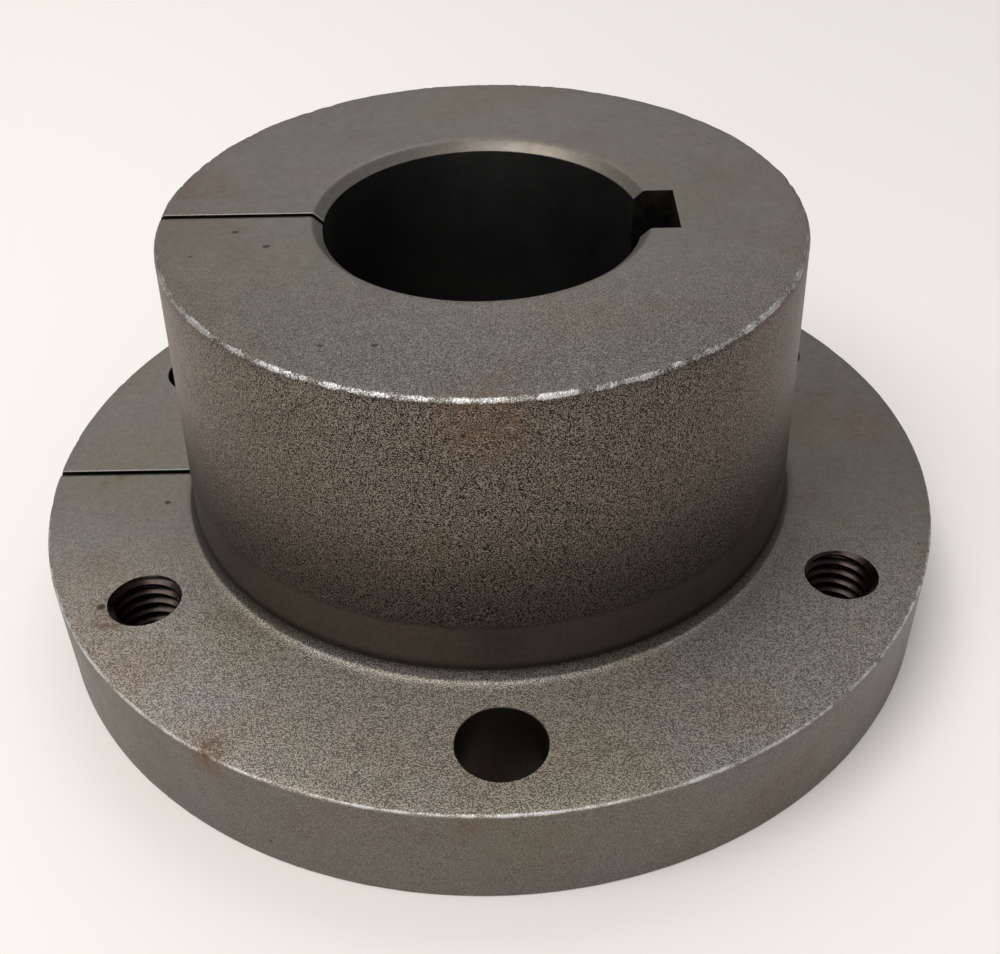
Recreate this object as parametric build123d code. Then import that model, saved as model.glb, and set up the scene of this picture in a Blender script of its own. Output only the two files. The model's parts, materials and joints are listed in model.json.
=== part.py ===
from build123d import *
import math
import os

# A flanged, split taper bushing of the quick-detachable kind: one iron casting, turned all over,
# drilled and tapped in the flange, broached for a key and sawn through on one side.
# Millimetres. +Z runs along the bore towards the small end of the barrel, and the origin is the
# centre of the flange's back face, on which the bushing stands. The keyway opens towards +X and
# the saw cut towards -X.

INCH = 25.4

# Tapered barrel, which seats in the hub. The taper is 3/4 inch to the foot, on the diameter.
BARREL_LENGTH = 1.5 * INCH
BARREL_ROOT_DIAMETER = 3.125 * INCH
TAPER_ON_DIAMETER = 0.75 / 12
ROOT_FILLET_RADIUS = 1.6
NOSE_EDGE_RADIUS = 0.8

# Flange, which stands out from the barrel's root by the width of its shoulder
SHOULDER_WIDTH = 0.75 * INCH
FLANGE_THICKNESS = 0.5625 * INCH
RIM_CHAMFER = 0.5

# Bore for the shaft
BORE_DIAMETER = 1.5 * INCH
BORE_CHAMFER = 1.2

# Keyway, with its depth measured at the side wall, as a hub's keyway is
KEYWAY_WIDTH = 0.375 * INCH
KEYWAY_DEPTH = 0.1875 * INCH

# Flange holes: three plain ones for the cap screws and three tapped ones for jack screws, in turn
# on one circle along the middle of the shoulder. The tapped ones are drawn at their tapping size.
HOLES_OF_EACH_KIND = 3
HOLE_PHASE = 1.5  # degrees by which the pattern is turned against the keyway
CLEARANCE_HOLE_DIAMETER = 13 / 32 * INCH
CLEARANCE_HOLE_LIP = 0.35
TAPPING_DIAMETER = 0.3125 * INCH
TAPPED_HOLE_LIP = 0.9

# Saw cut. It leans a little away from the bore's axis, and meets it at the small end.
SAW_CUT_WIDTH = 0.8
SAW_CUT_LEAN = 1.1  # degrees

# How far each cutting solid runs out past the face that it opens
OVERRUN = 2.0

OVERALL_LENGTH = FLANGE_THICKNESS + BARREL_LENGTH
ROOT_RADIUS = BARREL_ROOT_DIAMETER / 2
NOSE_RADIUS = ROOT_RADIUS - BARREL_LENGTH * TAPER_ON_DIAMETER / 2
FLANGE_RADIUS = ROOT_RADIUS + SHOULDER_WIDTH
HOLE_CIRCLE_RADIUS = ROOT_RADIUS + SHOULDER_WIDTH / 2
BORE_RADIUS = BORE_DIAMETER / 2


def turned_section():
    """Half section after turning, with the radius along X and the height along Y."""
    mouth_radius = BORE_RADIUS + BORE_CHAMFER
    root_corner = (ROOT_RADIUS, FLANGE_THICKNESS)
    nose_corner = (NOSE_RADIUS, OVERALL_LENGTH)
    outline = Polyline(
        (mouth_radius, 0),
        (FLANGE_RADIUS - RIM_CHAMFER, 0),
        (FLANGE_RADIUS, RIM_CHAMFER),
        (FLANGE_RADIUS, FLANGE_THICKNESS - RIM_CHAMFER),
        (FLANGE_RADIUS - RIM_CHAMFER, FLANGE_THICKNESS),
        root_corner,
        nose_corner,
        (mouth_radius, OVERALL_LENGTH),
        (BORE_RADIUS, OVERALL_LENGTH - BORE_CHAMFER),
        (BORE_RADIUS, BORE_CHAMFER),
        close=True,
    )
    section = make_face(outline)
    for place, radius in ((root_corner, ROOT_FILLET_RADIUS), (nose_corner, NOSE_EDGE_RADIUS)):
        corner = section.vertices().sort_by_distance((*place, 0))[0]
        section = fillet(corner, radius)
    return section


def turned_blank():
    """The body of revolution: flange, tapered barrel and chamfered bore."""
    return revolve(Plane.XZ * turned_section(), Axis.Z)


def hole_cutter(diameter, lip):
    """A drill through the flange, with a 45 degree countersink of the given width at each face."""
    radius = diameter / 2
    flare = radius + lip + OVERRUN
    outline = Polyline(
        (0, -OVERRUN),
        (flare, -OVERRUN),
        (radius, lip),
        (radius, FLANGE_THICKNESS - lip),
        (flare, FLANGE_THICKNESS + OVERRUN),
        (0, FLANGE_THICKNESS + OVERRUN),
        close=True,
    )
    return revolve(Plane.XZ * make_face(outline), Axis.Z)


def flange_hole_cutters():
    """All six flange holes. One plain hole lies square to the line of the keyway and saw cut."""
    pitch = 360 / HOLES_OF_EACH_KIND
    first_plain = HOLE_PHASE - 90
    first_tapped = first_plain + pitch / 2
    plain = PolarLocations(HOLE_CIRCLE_RADIUS, HOLES_OF_EACH_KIND, first_plain)
    tapped = PolarLocations(HOLE_CIRCLE_RADIUS, HOLES_OF_EACH_KIND, first_tapped)
    plain_drill = hole_cutter(CLEARANCE_HOLE_DIAMETER, CLEARANCE_HOLE_LIP)
    tapping_drill = hole_cutter(TAPPING_DIAMETER, TAPPED_HOLE_LIP)
    return plain * plain_drill + tapped * tapping_drill


def keyway_cutter():
    """The broach: a bar from the bore's axis out to the keyway's floor, through the whole length."""
    half_width = KEYWAY_WIDTH / 2
    side_wall_start = math.sqrt(BORE_RADIUS**2 - half_width**2)
    floor_distance = side_wall_start + KEYWAY_DEPTH
    height = OVERALL_LENGTH + 2 * OVERRUN
    bar = Box(floor_distance, KEYWAY_WIDTH, height, align=(Align.MIN, Align.CENTER, Align.MIN))
    return Pos(0, 0, -OVERRUN) * bar


def saw_cutter():
    """The saw blade: from inside the bore out past the rim, tilted about the small end's centre."""
    reach = FLANGE_RADIUS + OVERRUN
    height = OVERALL_LENGTH + 3 * OVERRUN
    blade = Box(reach, SAW_CUT_WIDTH, height, align=(Align.MAX, Align.CENTER, Align.MAX))
    return Pos(0, 0, OVERALL_LENGTH) * Rot(X=-SAW_CUT_LEAN) * Pos(0, 0, OVERRUN) * blade


def split_taper_bush():
    """The finished bushing."""
    return turned_blank() - flange_hole_cutters() - keyway_cutter() - saw_cutter()


os.makedirs("parts", exist_ok=True)
export_step(split_taper_bush(), "parts/split_taper_bush.step")
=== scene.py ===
import json
import math

import bmesh
import bpy
import numpy as np
from mathutils import Matrix, Vector


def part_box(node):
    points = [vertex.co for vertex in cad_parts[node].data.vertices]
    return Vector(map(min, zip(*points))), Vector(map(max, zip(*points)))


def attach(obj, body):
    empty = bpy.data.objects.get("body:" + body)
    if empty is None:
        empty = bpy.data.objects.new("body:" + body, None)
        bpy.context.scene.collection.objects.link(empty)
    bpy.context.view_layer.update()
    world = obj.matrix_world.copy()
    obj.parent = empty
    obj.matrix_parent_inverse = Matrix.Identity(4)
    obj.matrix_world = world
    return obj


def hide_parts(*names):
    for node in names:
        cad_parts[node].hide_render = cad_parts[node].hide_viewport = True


# The split taper bushing's looks. Metres, in the frame of the CAD model: the back face lies on
# z = 0, the bore runs up the Z axis, the keyway opens towards +X and the saw cut towards -X.

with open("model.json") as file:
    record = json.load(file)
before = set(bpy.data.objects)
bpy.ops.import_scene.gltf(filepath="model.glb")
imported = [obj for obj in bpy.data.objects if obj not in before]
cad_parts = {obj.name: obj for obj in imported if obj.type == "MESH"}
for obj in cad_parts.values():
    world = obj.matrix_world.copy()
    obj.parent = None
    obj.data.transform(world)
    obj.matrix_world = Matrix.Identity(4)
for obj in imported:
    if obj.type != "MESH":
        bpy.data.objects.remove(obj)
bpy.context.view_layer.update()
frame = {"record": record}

NODE = "split_taper_bush"
MM = 0.001

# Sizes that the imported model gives
node_low, node_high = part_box(NODE)
mounts = {mount["name"]: mount for mount in frame["record"]["mounts"]}
HEIGHT = node_high.z
FLANGE_RADIUS = min(node_high.x, node_high.y)
BORE_RADIUS = mounts["bore"]["dims"]["r_mm"] * MM
HOLE_CIRCLE_RADIUS = mounts["cap_screw_holes"]["dims"]["pcd_mm"] * MM / 2
CLEARANCE_RADIUS = mounts["cap_screw_holes"]["dims"]["hole_r_mm"] * MM
TAPPING_RADIUS = mounts["jack_screw_holes"]["dims"]["hole_r_mm"] * MM
KEYWAY_FLOOR = mounts["keyway"]["pos_m"][0]

# The other sizes of the turned shape, as they are in the CAD source
SHOULDER = 19.05 * MM
FLANGE = 14.2875 * MM
TAPER_SLOPE = 0.75 / 12 / 2
ROOT_RADIUS = FLANGE_RADIUS - SHOULDER
NOSE_RADIUS = ROOT_RADIUS - (HEIGHT - FLANGE) * TAPER_SLOPE
ROOT_FILLET = 1.6 * MM
BORE_CHAMFER = 1.2 * MM
KEYWAY_WIDTH = 9.525 * MM
SAW_WIDTH = 0.8 * MM
SAW_LEAN = math.radians(1.1)
HOLE_PHASE = math.radians(1.5)
THREAD_PITCH = 1.5875 * MM
THREAD_MAJOR_RADIUS = 4.7625 * MM
TAPPED_LIP = 0.32 * MM
OVERRUN = 2 * MM  # how far each cutter runs out past the face that it opens

# Worn edges: how wide the wear is on average, and by how much that varies round the part
NOSE_WEAR = 0.48 * MM
NOSE_WEAR_SPREAD = 0.22 * MM
RIM_WEAR = 0.22 * MM
RIM_WEAR_SPREAD = 0.10 * MM

# Dents seen one by one: azimuth in degrees, width and depth
NOSE_DENTS = [(-128, 1.8 * MM, 0.30 * MM), (-117, 2.4 * MM, 0.40 * MM), (-90, 1.5 * MM, 0.25 * MM)]
RIM_DENTS = [(-122, 1.0 * MM, 0.55 * MM), (-110, 0.7 * MM, 0.35 * MM), (-91, 0.5 * MM, 0.25 * MM),
             (-49, 0.6 * MM, 0.30 * MM), (-40, 0.5 * MM, 0.25 * MM)]

# Mesh points round the part, and their angles
SEGMENTS = 1040
AROUND = np.arange(SEGMENTS) * 2 * math.pi / SEGMENTS
random = np.random.default_rng(41)


# ---------------------------------------------------------------- the worn, turned body

def ring_noise(knots):
    """Smooth random values from -1 to 1 round the part, with this many turning points."""
    values = random.uniform(-1, 1, knots)
    place = AROUND / (2 * math.pi) * knots
    before = place.astype(int) % knots
    step = place - np.floor(place)
    step = step * step * (3 - 2 * step)
    return values[before] * (1 - step) + values[(before + 1) % knots] * step


def layered_noise(knots):
    """Ring noise with finer layers on top, down to the mesh's own grain."""
    return (ring_noise(knots) + 0.6 * ring_noise(knots * 3) + 0.4 * ring_noise(knots * 9)) / 2


def dents(marks):
    """Depth of single dents round an edge, from (azimuth in degrees, width, depth) of each."""
    depth = np.zeros(SEGMENTS)
    for azimuth, width, deepest in marks:
        off = (AROUND - math.radians(azimuth) + math.pi) % (2 * math.pi) - math.pi
        depth = np.maximum(depth, deepest * np.exp(-((off * FLANGE_RADIUS / width) ** 2)))
    return depth


def random_dents(count, width, depth):
    """Marks for dents(), strewn round the part."""
    return [
        (random.uniform(0, 360), width * random.uniform(0.5, 1.5), depth * random.uniform(0.2, 1))
        for _ in range(count)
    ]


def edge_rings(radius, height, wear, steps, lift=1, slope=0.0):
    """Rings round a worn outer edge, from its side (lift 1: going up) to its flat face.
    wear is how far the rounding reaches along each face, at each azimuth."""
    rings = []
    for turn in np.linspace(0, math.pi / 2, steps):
        drop = wear * (1 - math.sin(turn))
        inward = wear * (1 - math.cos(turn))
        rough = 0.05 * wear * random.uniform(-1, 1, SEGMENTS) * math.sin(2 * turn)
        rings.append((radius + drop * slope - inward - np.abs(rough), height - lift * drop))
    return rings


def flat_ring(radius, height):
    """A plain round ring."""
    return (np.full(SEGMENTS, radius), np.full(SEGMENTS, height))


def fillet_rings(steps):
    """Rings of the fillet between the flange's front face and the barrel."""
    centre_radius = ROOT_RADIUS + ROOT_FILLET
    centre_height = FLANGE + ROOT_FILLET
    return [
        flat_ring(centre_radius - ROOT_FILLET * math.sin(t), centre_height - ROOT_FILLET * math.cos(t))
        for t in np.linspace(0, math.pi / 2, steps)
    ]


def bore_mouth_rings(height, direction):
    """Rings of the bore's chamfer, from the end face in to the bore. Its outer edge is soft."""
    steps = ((1.22, 0.0), (1.08, 0.02), (0.95, 0.07), (0.80, 0.17), (0.52, 0.43), (0.22, 0.73),
             (0.05, 0.90), (0.0, 0.98))
    return [
        flat_ring(BORE_RADIUS + out * BORE_CHAMFER, height - direction * down * BORE_CHAMFER)
        for out, down in steps
    ]


def body_rings():
    """All rings of the turned body, once round its section."""
    nose_wear = NOSE_WEAR + NOSE_WEAR_SPREAD * layered_noise(60)
    nose_wear += dents(NOSE_DENTS + random_dents(26, 0.8 * MM, 0.3 * MM))
    rim_wear = RIM_WEAR + RIM_WEAR_SPREAD * layered_noise(90)
    rim_wear += dents(RIM_DENTS + random_dents(40, 0.6 * MM, 0.25 * MM))
    foot_wear = RIM_WEAR + RIM_WEAR_SPREAD * layered_noise(50)

    rings = [flat_ring(r, 0) for r in (24 * MM, 38 * MM, 50 * MM)]
    rings += edge_rings(FLANGE_RADIUS, 0, foot_wear, 4, lift=-1)[::-1]
    rings += [flat_ring(FLANGE_RADIUS, z) for z in np.linspace(1.2 * MM, FLANGE - 1.6 * MM, 5)]
    rings += edge_rings(FLANGE_RADIUS, FLANGE, rim_wear, 8)
    rings += [flat_ring(r, FLANGE) for r in np.linspace(FLANGE_RADIUS - 1.6 * MM, 42 * MM, 7)]
    rings += fillet_rings(8)
    for z in np.linspace(FLANGE + 2.4 * MM, HEIGHT - 2.2 * MM, 8):
        rings.append(flat_ring(NOSE_RADIUS + (HEIGHT - z) * TAPER_SLOPE, z))
    rings += edge_rings(NOSE_RADIUS, HEIGHT, nose_wear, 10, slope=TAPER_SLOPE)
    rings += [flat_ring(r, HEIGHT) for r in np.linspace(NOSE_RADIUS - 2.2 * MM, 21.5 * MM, 6)]
    rings += bore_mouth_rings(HEIGHT, 1)
    rings += [flat_ring(BORE_RADIUS, z) for z in (0.7 * HEIGHT, 0.3 * HEIGHT)]
    rings += bore_mouth_rings(0, -1)[::-1]
    return rings


def ring_mesh(name, rings, closed):
    """A mesh through rings of (radius, height) arrays. closed joins the last ring to the first."""
    radius = np.array([ring[0] for ring in rings])
    height = np.array([ring[1] for ring in rings])
    count, around = radius.shape
    angle = np.arange(around) * 2 * math.pi / around
    points = np.stack([radius * np.cos(angle), radius * np.sin(angle), height], axis=-1)
    i = np.arange(count if closed else count - 1)[:, None]
    j = np.arange(around)[None, :]
    nxt, side = (i + 1) % count, (j + 1) % around
    faces = np.stack([i * around + j, i * around + side, nxt * around + side, nxt * around + j], -1)
    mesh = bpy.data.meshes.new(name)
    mesh.from_pydata(points.reshape(-1, 3).tolist(), [], faces.reshape(-1, 4).tolist())
    return mesh


def new_object(name, mesh):
    """An object for a mesh, in the scene."""
    thing = bpy.data.objects.new(name, mesh)
    bpy.context.scene.collection.objects.link(thing)
    return thing


# ---------------------------------------------------------------- cutters

def lathe_cutter(name, profile, centre, around=64):
    """A solid of revolution about a vertical line, from (radius, height) pairs, bottom to top."""
    rings = [(np.full(around, r), np.full(around, z)) for r, z in profile]
    mesh = ring_mesh(name, rings, closed=False)
    thing = new_object(name, mesh)
    cap_holes(mesh)
    thing.location = centre
    return thing


def cap_holes(mesh):
    """Closes a mesh's open ends with fans and turns all its faces outward."""
    grid = bmesh.new()
    grid.from_mesh(mesh)
    bmesh.ops.holes_fill(grid, edges=grid.edges, sides=0)
    bmesh.ops.recalc_face_normals(grid, faces=grid.faces)
    bmesh.ops.triangulate(grid, faces=[f for f in grid.faces if len(f.verts) > 4])
    grid.to_mesh(mesh)
    grid.free()


def thread_radius(turn):
    """Radius of an internal thread's wall, over one pitch from 0 to 1."""
    groove_end, crest_start = 0.07, 0.39
    from_groove = np.abs(turn % 1 - 0.5)
    flank = np.clip((from_groove - groove_end) / (crest_start - groove_end), 0, 1)
    return THREAD_MAJOR_RADIUS + (TAPPING_RADIUS - THREAD_MAJOR_RADIUS) * flank


def thread_cutter(name, centre, start):
    """The tapped hole as a solid: a grid that climbs one pitch a turn, so that its rows follow the
    thread, with a countersink at each face of the flange."""
    around, per_pitch = 72, 10
    turns = int(FLANGE / THREAD_PITCH) + 5
    rows = per_pitch * turns + 1
    lip = TAPPING_RADIUS + TAPPED_LIP
    points = []
    for row in range(rows):
        for j in range(around):
            share = j / around
            z = (row / per_pitch - 2.5 + share) * THREAD_PITCH
            r = float(thread_radius(row / per_pitch + start))
            r = max(r, lip + z - FLANGE, lip - z)
            r = min(r, lip + 1.5 * MM)
            angle = 2 * math.pi * share
            points.append((r * math.cos(angle), r * math.sin(angle), z))
    faces = []
    for row in range(rows - 1):
        for j in range(around - 1):
            a = row * around + j
            faces.append((a, a + 1, a + around + 1, a + around))
    for row in range(rows - 1 - per_pitch):
        a, b = row * around + around - 1, (row + per_pitch) * around
        faces.append((a, b, b + around, a + around))
    bottom = list(range(around)) + [k * around for k in range(per_pitch, 0, -1)]
    top_row = (rows - 1) * around
    top = [top_row + j for j in range(around - 1, -1, -1)]
    top += [(rows - 1 - k) * around + around - 1 for k in range(per_pitch, 0, -1)]
    points += [(0, 0, points[0][2]), (0, 0, points[-1][2])]
    for loop, middle in ((bottom, len(points) - 2), (top, len(points) - 1)):
        for a, b in zip(loop, loop[1:] + loop[:1]):
            faces.append((b, a, middle))
    mesh = bpy.data.meshes.new(name)
    mesh.from_pydata(points, [], faces)
    thing = new_object(name, mesh)
    cap_holes(mesh)
    thing.location = centre
    return thing


def box_cutter(name, low, high):
    """A block between two corners."""
    (x0, y0, z0), (x1, y1, z1) = low, high
    points = [(x, y, z) for z in (z0, z1) for y in (y0, y1) for x in (x0, x1)]
    faces = [(0, 2, 3, 1), (4, 5, 7, 6), (0, 1, 5, 4), (2, 6, 7, 3), (0, 4, 6, 2), (1, 3, 7, 5)]
    mesh = bpy.data.meshes.new(name)
    mesh.from_pydata(points, [], faces)
    return new_object(name, mesh)


def subtract(body, cutters):
    """Cuts each cutter out of the body for good, and removes it. Its material stays on the cut."""
    for cutter in cutters:
        cut = body.modifiers.new("cut", "BOOLEAN")
        cut.operation = "DIFFERENCE"
        cut.solver = "MANIFOLD"
        cut.material_mode = "TRANSFER"
        cut.object = cutter
        bpy.context.view_layer.update()
        graph = bpy.context.evaluated_depsgraph_get()
        result = bpy.data.meshes.new_from_object(body.evaluated_get(graph))
        body.modifiers.clear()
        body.data = result
        bpy.data.objects.remove(cutter)


def hole_places(first_azimuth):
    """Where three holes of one kind stand on the hole circle."""
    angles = [first_azimuth + k * 2 * math.pi / 3 for k in range(3)]
    return [
        (HOLE_CIRCLE_RADIUS * math.cos(a), HOLE_CIRCLE_RADIUS * math.sin(a), 0) for a in angles
    ]


def build_body(iron, drilled, tapped, sawn):
    """The worn casting as one mesh."""
    body = new_object("bush_casting", ring_mesh("bush_casting", body_rings(), closed=True))
    body.data.materials.append(iron)
    back_lip, front_lip = 0.1 * MM, 0.08 * MM
    plain = [
        (CLEARANCE_RADIUS + OVERRUN + back_lip, -OVERRUN),
        (CLEARANCE_RADIUS, back_lip),
        (CLEARANCE_RADIUS, FLANGE - front_lip),
        (CLEARANCE_RADIUS + OVERRUN + front_lip, FLANGE + OVERRUN),
    ]
    first = HOLE_PHASE - math.pi / 2
    cutters = [lathe_cutter("drill", plain, place) for place in hole_places(first)]
    cutters += [
        thread_cutter("tap", place, 0.3 * k)
        for k, place in enumerate(hole_places(first + math.pi / 3))
    ]
    for cutter in cutters:
        cutter.data.materials.append(drilled if cutter.name.startswith("drill") else tapped)
    half = KEYWAY_WIDTH / 2
    broach_top = HEIGHT + OVERRUN
    cutters.append(box_cutter("broach", (0, -half, -OVERRUN), (KEYWAY_FLOOR, half, broach_top)))
    saw = box_cutter(
        "saw",
        (-FLANGE_RADIUS - OVERRUN, -SAW_WIDTH / 2, -HEIGHT - 2 * OVERRUN),
        (0, SAW_WIDTH / 2, OVERRUN),
    )
    saw.matrix_world = Matrix.Translation((0, 0, HEIGHT)) @ Matrix.Rotation(-SAW_LEAN, 4, "X")
    cutters.append(saw)
    for cutter in cutters[-2:]:
        cutter.data.materials.append(sawn)
    subtract(body, cutters)
    return body


# ---------------------------------------------------------------- scene

# Camera, which looks along +Y, down at the bushing. Lengths are shares of the flange's true radius.
TRUE_FLANGE_RADIUS = 0.0587375
CAMERA_ELEVATION = math.radians(39.0934)
CAMERA_DISTANCE = 3.2447 * TRUE_FLANGE_RADIUS
CAMERA_ROLL = math.radians(1.0233)
CAMERA_AIM = (-0.0406 * TRUE_FLANGE_RADIUS, 0.1446 * TRUE_FLANGE_RADIUS)
CAMERA_LENS = 47.600
CAMERA_SHIFT = (-0.00839, 0.00472)


def make_camera():
    """The camera, from its elevation, distance, roll and the point it is aimed past."""
    back = Vector((0, -math.cos(CAMERA_ELEVATION), math.sin(CAMERA_ELEVATION)))
    right = Vector((1, 0, 0))
    down = (-back).cross(right)
    c, s = math.cos(CAMERA_ROLL), math.sin(CAMERA_ROLL)
    right, down = c * right + s * down, c * down - s * right
    data = bpy.data.cameras.new("camera")
    data.sensor_width = 36
    data.lens = CAMERA_LENS
    data.shift_x, data.shift_y = CAMERA_SHIFT
    data.clip_start = 0.01
    camera = bpy.data.objects.new("camera", data)
    bpy.context.scene.collection.objects.link(camera)
    place = back * CAMERA_DISTANCE - right * CAMERA_AIM[0] - down * CAMERA_AIM[1]
    turn = Matrix((right, -down, back)).transposed().to_4x4()
    camera.matrix_world = Matrix.Translation(place) @ turn
    bpy.context.scene.camera = camera


def area_light(name, place, target, size, power, colour=(1, 1, 1)):
    """A square soft light that shines at a target."""
    data = bpy.data.lights.new(name, "AREA")
    data.size = size
    data.energy = power
    data.color = colour
    lamp = bpy.data.objects.new(name, data)
    bpy.context.scene.collection.objects.link(lamp)
    lamp.location = place
    lamp.rotation_mode = "QUATERNION"
    lamp.rotation_quaternion = (Vector(target) - Vector(place)).to_track_quat("-Z", "Y")


def make_world():
    """Even, pale surroundings."""
    world = bpy.data.worlds.new("studio")
    bpy.context.scene.world = world
    world.use_nodes = True
    background = world.node_tree.nodes["Background"]
    background.inputs["Color"].default_value = (1, 0.985, 0.96, 1)
    background.inputs["Strength"].default_value = 0.46


# ---------------------------------------------------------------- materials

class Shader:
    """A material's nodes, with short calls that each add a node and return its output."""

    def __init__(self, name):
        self.material = bpy.data.materials.new(name)
        self.material.use_nodes = True
        self.tree = self.material.node_tree
        self.surface = self.tree.nodes["Principled BSDF"]
        self.place = self.add("ShaderNodeTexCoord").outputs["Object"]
        apart = self.add("ShaderNodeSeparateXYZ", self.place)
        self.x, self.y, self.z = apart.outputs
        self.radius = self.math("SQRT", self.math("ADD", self.square(self.x), self.square(self.y)))

    def add(self, kind, *inputs, **settings):
        """A node with these first inputs, each a number, a colour or another node's output."""
        node = self.tree.nodes.new(kind)
        for name, value in settings.items():
            setattr(node, name, value)
        for socket, value in zip(node.inputs, inputs):
            self.put(socket, value)
        return node

    def put(self, socket, value):
        """Sets a socket, or links it."""
        if isinstance(value, bpy.types.NodeSocket):
            self.tree.links.new(value, socket)
        elif value is not None:
            socket.default_value = value

    def math(self, operation, *values, clamp=False):
        """A sum on numbers or outputs."""
        node = self.add("ShaderNodeMath", *values, operation=operation, use_clamp=clamp)
        return node.outputs[0]

    def square(self, value):
        """A value times itself."""
        return self.math("MULTIPLY", value, value)

    def product(self, *values):
        """All the values multiplied."""
        result = values[0]
        for value in values[1:]:
            result = self.math("MULTIPLY", result, value)
        return result

    def noise(self, size, detail=2.0, roughness=0.5, place=None, distortion=0.0):
        """Noise from 0 to 1 whose blots are about this many metres across."""
        node = self.add("ShaderNodeTexNoise")
        self.put(node.inputs["Vector"], place or self.place)
        self.put(node.inputs["Scale"], 1 / size)
        self.put(node.inputs["Detail"], detail)
        self.put(node.inputs["Roughness"], roughness)
        self.put(node.inputs["Distortion"], distortion)
        return node.outputs[0]

    def specks(self, size, share):
        """Round specks of this spacing: 1 in their middle. share is how much of a cell they take."""
        node = self.add("ShaderNodeTexVoronoi")
        self.put(node.inputs["Vector"], self.place)
        self.put(node.inputs["Scale"], 1 / size)
        return self.step(node.outputs["Distance"], share, share * 0.4)

    def step(self, value, low, high, to_low=0.0, to_high=1.0):
        """A smooth step: to_low where the value is low, to_high where it is high."""
        node = self.add("ShaderNodeMapRange", interpolation_type="SMOOTHSTEP")
        for name, number in (("Value", value), ("From Min", low), ("From Max", high),
                             ("To Min", to_low), ("To Max", to_high)):
            self.put(node.inputs[name], number)
        return node.outputs[0]

    def mix(self, share, first, second, blend="MIX"):
        """A colour between two colours."""
        node = self.tree.nodes.new("ShaderNodeMix")
        node.data_type, node.blend_type = "RGBA", blend
        self.put(node.inputs[0], share)
        self.put(node.inputs[6], first)
        self.put(node.inputs[7], second)
        return node.outputs[2]

    def edge_distance(self, radius, height):
        """How far a point lies from an outer edge, along the faces that meet there."""
        inward = self.math("ABSOLUTE", self.math("SUBTRACT", radius, self.radius))
        down = self.math("ABSOLUTE", self.math("SUBTRACT", height, self.z))
        return self.math("ADD", inward, down)

    def near(self, x, y, z, reach):
        """1 close to a place and 0 beyond its reach."""
        offset = self.add("ShaderNodeVectorMath", self.place, (x, y, z), operation="DISTANCE")
        return self.step(offset.outputs["Value"], reach, reach * 0.35)

    def bump(self, height, depth, normal=None):
        """A normal from a height of 0 to 1 that stands for this depth in metres."""
        node = self.add("ShaderNodeBump")
        self.put(node.inputs["Distance"], depth)
        self.put(node.inputs["Height"], height)
        if normal is not None:
            self.put(node.inputs["Normal"], normal)
        return node.outputs[0]


# Colours of the bare iron, its rust, its bright worn edges (wear with a painted highlight), the
# painted shade in the bore, and its dark pits, also used as painted shade beside the saw cut
GREY = (0.215, 0.194, 0.171, 1)
COOL = (0.203, 0.192, 0.178, 1)
OLIVE = (0.206, 0.191, 0.157, 1)
BROWN = (0.200, 0.163, 0.132, 1)
RUST = (0.150, 0.085, 0.050, 1)
WORN_AND_HIGHLIGHT = (0.56, 0.55, 0.54, 1)
# Painted shade: the bore's wall colour is darkened to stand for the shade deep in the hole
BORE_SHADE = (0.060, 0.058, 0.056, 1)
# Dark of the real pits, also used as painted shade along the saw cut's near lip
PIT_AND_CUT_SHADE = (0.030, 0.026, 0.023, 1)

# Where rust has started: the place, how far it reaches and how strong it is
RUST_SPOTS = (
    ((-45.5 * MM, -28.6 * MM, FLANGE), 3.4 * MM, 0.85),
    ((-30.6 * MM, -49.4 * MM, FLANGE - 1.2 * MM), 3.2 * MM, 0.80),
    ((-35.0 * MM, 8.0 * MM, HEIGHT), 6.0 * MM, 0.45),
    ((53.0 * MM, 6.0 * MM, FLANGE), 5.5 * MM, 0.45),
    ((0.5 * MM, -38.4 * MM, HEIGHT - 2.5 * MM), 7.0 * MM, 0.45),
)


# Single small pits and nicks: the place and how far each reaches
PIT_SPOTS = (
    ((-28.9 * MM, -3.9 * MM, HEIGHT), 0.50 * MM),
    ((-24.8 * MM, -7.4 * MM, HEIGHT), 0.55 * MM),
    ((-10.9 * MM, -28.5 * MM, HEIGHT), 0.45 * MM),
    ((-32.2 * MM, -23.8 * MM, FLANGE), 0.50 * MM),
    ((-42.8 * MM, -7.2 * MM, FLANGE), 0.50 * MM),
    ((-47.2 * MM, -26.8 * MM, FLANGE), 0.70 * MM),
)


def tone(s):
    """The iron's colour in large, soft patches of grey, olive and brown."""
    colour = s.mix(s.step(s.noise(26 * MM, 2), 0.40, 0.64), GREY, COOL)
    colour = s.mix(s.step(s.noise(19 * MM, 3), 0.44, 0.70), colour, OLIVE)
    moved = s.add("ShaderNodeVectorMath", s.place, (0.3, 0.1, 0.7)).outputs[0]
    return s.mix(s.step(s.noise(15 * MM, 3, 0.6, moved), 0.48, 0.72, 0, 0.75), colour, BROWN)


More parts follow.
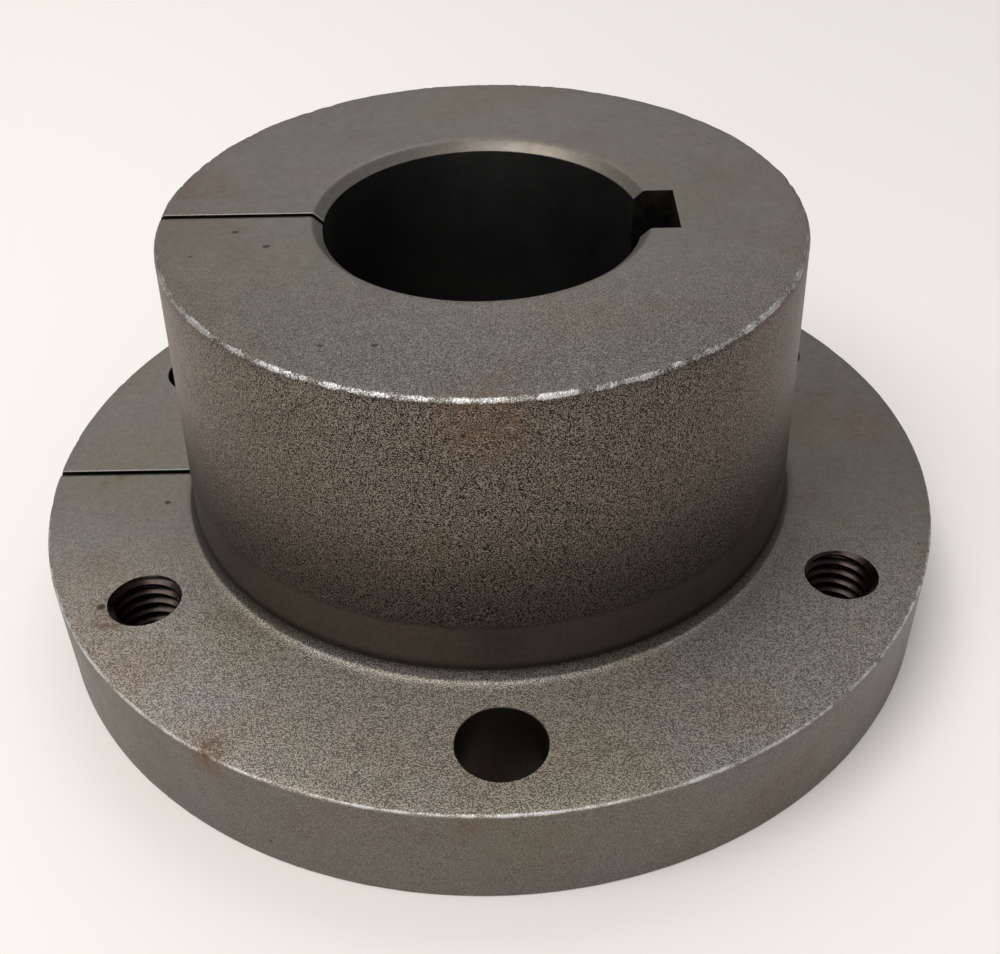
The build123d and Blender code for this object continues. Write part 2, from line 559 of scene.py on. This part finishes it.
def zones(s):
    """Where each face is, from 0 to 1: the barrel's side, the smooth band at its foot, the corner
    with the flange, the flange's front face, its rim, the bore's wall and the small end."""
    side = s.product(s.step(s.z, FLANGE + 1.0 * MM, FLANGE + 1.6 * MM),
                     s.step(s.z, HEIGHT - 0.2 * MM, HEIGHT - 0.6 * MM),
                     s.step(s.radius, 30 * MM, 33 * MM))
    band = s.product(side, s.step(s.z, FLANGE + 8.8 * MM, FLANGE + 7.2 * MM))
    corner = s.product(s.step(s.z, FLANGE + 0.12 * MM, FLANGE + 0.42 * MM),
                       s.step(s.z, FLANGE + 3.0 * MM, FLANGE + 1.2 * MM),
                       s.step(s.radius, 30 * MM, 33 * MM))
    front = s.product(s.step(s.z, FLANGE + 0.35 * MM, FLANGE + 0.1 * MM),
                      s.step(s.z, FLANGE - 0.5 * MM, FLANGE - 0.2 * MM))
    rim = s.product(s.step(s.radius, FLANGE_RADIUS - 0.4 * MM, FLANGE_RADIUS - 0.1 * MM),
                    s.step(s.z, FLANGE - 0.1 * MM, FLANGE - 0.4 * MM))
    bore = s.step(s.radius, BORE_RADIUS + 0.05 * MM, BORE_RADIUS + 0.01 * MM)
    end = s.step(s.z, HEIGHT - 1.6 * MM, HEIGHT - 0.1 * MM)
    return side, band, corner, front, rim, bore, end


def painted_saw_lips(s):
    """The saw cut's two lips, from 0 to 1: the near one, darkened as painted shade of the cut, and the
    far one, lightened as a painted highlight on its burr.
    """
    ragged = s.product(s.math("SUBTRACT", s.noise(0.5 * MM, 3, 0.7), 0.5), 0.45 * MM)
    across = s.math("ADD", s.y, s.product(s.math("SUBTRACT", HEIGHT, s.z), math.tan(SAW_LEAN)))
    across = s.math("ADD", across, ragged)
    left = s.step(s.x, -BORE_RADIUS * 0.8, -BORE_RADIUS)
    half = SAW_WIDTH / 2
    near = s.step(across, -half - 0.38 * MM, -half - 0.12 * MM)
    near = s.product(near, s.step(across, 0.1 * MM, 0.0), left)
    far = s.product(s.step(across, half + 0.30 * MM, half + 0.14 * MM),
                    s.step(across, 0.0, 0.1 * MM), left)
    return near, far


def floor_material():
    """Pale paper with faint marks, darker towards the back right as painted shade."""
    s = Shader("floor_paper")
    across = s.math("ADD", s.x, s.product(s.y, 0.5))
    colour = s.mix(s.step(across, -0.05, 0.20), (0.81, 0.775, 0.745, 1), (0.75, 0.72, 0.70, 1))
    marks = s.product(s.specks(0.012, 0.05), s.step(s.noise(0.05), 0.55, 0.65), 0.35)
    s.put(s.surface.inputs["Base Color"], s.mix(marks, colour, (0.35, 0.33, 0.31, 1)))
    s.surface.inputs["Roughness"].default_value = 0.7
    return s.material


def blend_gains(s, *pairs):
    """One factor from zones that don't overlap: 1 outside them, and in each its own gain."""
    total = 1.0
    for zone, gain in pairs:
        total = s.math("ADD", total, s.product(zone, s.math("SUBTRACT", gain, 1.0)))
    return total


def scaled(s, colour, factor):
    """A colour made lighter or darker by a factor."""
    node = s.add("ShaderNodeVectorMath", colour, operation="SCALE")
    s.put(node.inputs["Scale"], factor)
    return node.outputs[0]


def iron_material():
    """Machined iron with a fine, sandy grain, dark film, rust and bright worn edges, with painted
    light and shade on its faces, edges and bore.
    """
    s = Shader("worn_iron")
    side, band, corner, front, rim, bore, end = zones(s)

    sandy = s.step(s.y, -2 * MM, -34 * MM, 0.16, 1.0)
    calm = s.math("MAXIMUM", s.product(band, 0.85), s.product(rim, 0.45))
    sandy = s.product(sandy, s.math("SUBTRACT", 1.0, calm))
    sandy = s.product(sandy, blend_gains(s, (side, 1.7), (front, 0.95), (end, 0.95)))
    grain = s.noise(0.145 * MM, 0.0)
    speckle = s.step(grain, 0.39, 0.61, -1.0, 1.0)

    # Painted light and shade, as gains on the colour: the barrel's side darker towards the right and
    # much darker low down, less so in its foot band; the flange's front face lighter on the left and
    # darker towards the back; the rim and the small end darker all over
    right_shade = s.step(s.x, -38 * MM, 2 * MM, 1.0, 0.82)
    low_shade = s.step(s.z, FLANGE + 8 * MM, FLANGE + 26 * MM, 0.34, 0.82)
    low_shade = s.math("MAXIMUM", low_shade, s.product(band, 0.46))
    side_light_and_shade = s.product(right_shade, low_shade)
    front_light_and_shade = s.product(s.step(s.x, 0.0, 44 * MM, 1.55, 1.10),
                           s.step(s.y, -4 * MM, -44 * MM, 0.62, 1.0))
    end_shade = s.step(s.x, 2 * MM, 30 * MM, 0.74, 0.68)
    gain = blend_gains(s, (side, side_light_and_shade), (front, front_light_and_shade), (rim, 0.73), (end, end_shade))
    # Painted shade: the corner between the barrel and the flange is darkened
    gain = s.product(gain, s.step(corner, 0.0, 1.0, 1.0, 0.35))
    gain = s.product(gain, s.math("ADD", 1.0, s.product(speckle, sandy, 0.46)))
    gain = s.product(gain, s.step(s.noise(1.1 * MM, 3, 0.7), 0.25, 0.75, 0.92, 1.08))
    warm = s.mix(s.product(side, 0.75), tone(s), BROWN)
    colour = scaled(s, warm, gain)

    rust = s.step(s.noise(9 * MM, 4, 0.65), 0.60, 0.76, 0, 0.35)
    blotch = s.step(s.noise(0.9 * MM, 3, 0.6), 0.35, 0.60)
    for place, reach, share in RUST_SPOTS:
        rust = s.math("MAXIMUM", rust, s.product(s.near(*place, reach), blotch, share))
    colour = s.mix(rust, colour, RUST)
    pits = s.product(s.specks(3.4 * MM, 0.10), s.step(s.noise(7 * MM), 0.58, 0.64),
                     s.math("SUBTRACT", 1.0, bore))
    for place, reach in PIT_SPOTS:
        pits = s.math("MAXIMUM", pits, s.near(*place, reach))
    colour = s.mix(s.product(pits, 0.8), colour, PIT_AND_CUT_SHADE)

    # Bright worn edges: real wear together with a painted highlight, strong at the front where the
    # edges catch the lamps and faint at the back
    ragged = s.noise(0.24 * MM, 3, 0.8)
    coarse = s.noise(2.2 * MM, 2, 0.6)
    nose = s.edge_distance(NOSE_RADIUS, HEIGHT)
    spread = s.math("ADD", s.product(ragged, 1.0 * MM), s.product(coarse, 0.6 * MM))
    nose_wear_and_highlight = s.step(s.math("ADD", nose, spread), 1.26 * MM, 1.04 * MM)
    edge = s.edge_distance(FLANGE_RADIUS, FLANGE)
    spread = s.math("ADD", s.product(ragged, 0.7 * MM), s.product(coarse, 0.6 * MM))
    rim_wear_and_highlight = s.step(s.math("ADD", edge, spread), 0.94 * MM, 0.72 * MM)
    bright = s.product(s.math("MAXIMUM", nose_wear_and_highlight, rim_wear_and_highlight),
                       s.step(s.y, 5 * MM, -32 * MM, 0.15, 1.0))
    colour = s.mix(bright, colour, WORN_AND_HIGHLIGHT)
    # The saw cut's lips: painted shade along the near one and a painted highlight on the far one
    shaded_near_lip, highlighted_far_lip = painted_saw_lips(s)
    colour = s.mix(s.product(highlighted_far_lip, 0.5), colour, WORN_AND_HIGHLIGHT)
    colour = s.mix(s.product(shaded_near_lip, 0.75), colour, PIT_AND_CUT_SHADE)
    # The bore's wall in painted shade
    colour = s.mix(bore, colour, BORE_SHADE)

    rough = s.math("ADD", 0.42, s.product(s.noise(4 * MM, 4), 0.14))
    rough = s.math("ADD", rough, s.product(front, 0.12))
    rough = s.math("SUBTRACT", rough, s.product(bright, 0.10), clamp=True)
    s.put(s.surface.inputs["Base Color"], colour)
    s.put(s.surface.inputs["Roughness"], rough)
    s.surface.inputs["Metallic"].default_value = 1.0
    normal = s.bump(s.product(grain, s.math("ADD", 0.05, sandy)), 0.075 * MM)
    normal = s.bump(s.math("SUBTRACT", 1.0, pits), 0.10 * MM, normal)
    normal = s.bump(s.noise(3.5 * MM, 3), 0.04 * MM, normal)
    s.put(s.surface.inputs["Normal"], normal)
    return s.material


def shaded_wall_material(name, dark, light, roughness):
    """The walls that were drilled, tapped, broached or sawn, in dark colours that paint the shade
    inside the holes, the keyway and the cut.
    """
    s = Shader(name)
    tint = s.step(s.noise(1.5 * MM, 3), 0.42, 0.62)
    s.put(s.surface.inputs["Base Color"], s.mix(tint, dark, light))
    s.surface.inputs["Metallic"].default_value = 1.0
    s.surface.inputs["Roughness"].default_value = roughness
    s.put(s.surface.inputs["Normal"], s.bump(s.noise(0.5 * MM, 2), 0.025 * MM))
    return s.material


def make_floor():
    """A plain pale floor that the bushing stands on."""
    mesh = bpy.data.meshes.new("floor")
    half = 1.5
    corners = [(-half, -half, 0), (half, -half, 0), (half, half, 0), (-half, half, 0)]
    mesh.from_pydata(corners, [], [(0, 1, 2, 3)])
    floor = new_object("floor", mesh)
    mesh.materials.append(floor_material())


# The hole, keyway and cut walls get dark colours as painted shade
bush = build_body(
    iron_material(),
    shaded_wall_material("drilled_walls", (0.050, 0.042, 0.036, 1), (0.062, 0.043, 0.033, 1), 0.45),
    shaded_wall_material("tapped_walls", (0.026, 0.021, 0.020, 1), (0.040, 0.028, 0.024, 1), 0.27),
    shaded_wall_material("sawn_walls", (0.020, 0.018, 0.017, 1), (0.040, 0.034, 0.028, 1), 0.5),
)
bush.data.shade_smooth()
bush.data.set_sharp_from_angle(angle=math.radians(32))
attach(bush, "root")
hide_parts(NODE)

make_camera()
make_world()
make_floor()
area_light("key", (-0.38, -0.32, 0.95), (0, 0, 0.02), 0.7, 7.4, (1, 0.99, 0.97))
area_light("front", (-0.1, -0.9, 0.35), (0, 0, 0.02), 0.6, 2.0)
area_light("fill", (0.0, 0.55, 0.80), (0, 0, 0.02), 0.7, 2.2)

bpy.context.scene.view_settings.view_transform = "Standard"
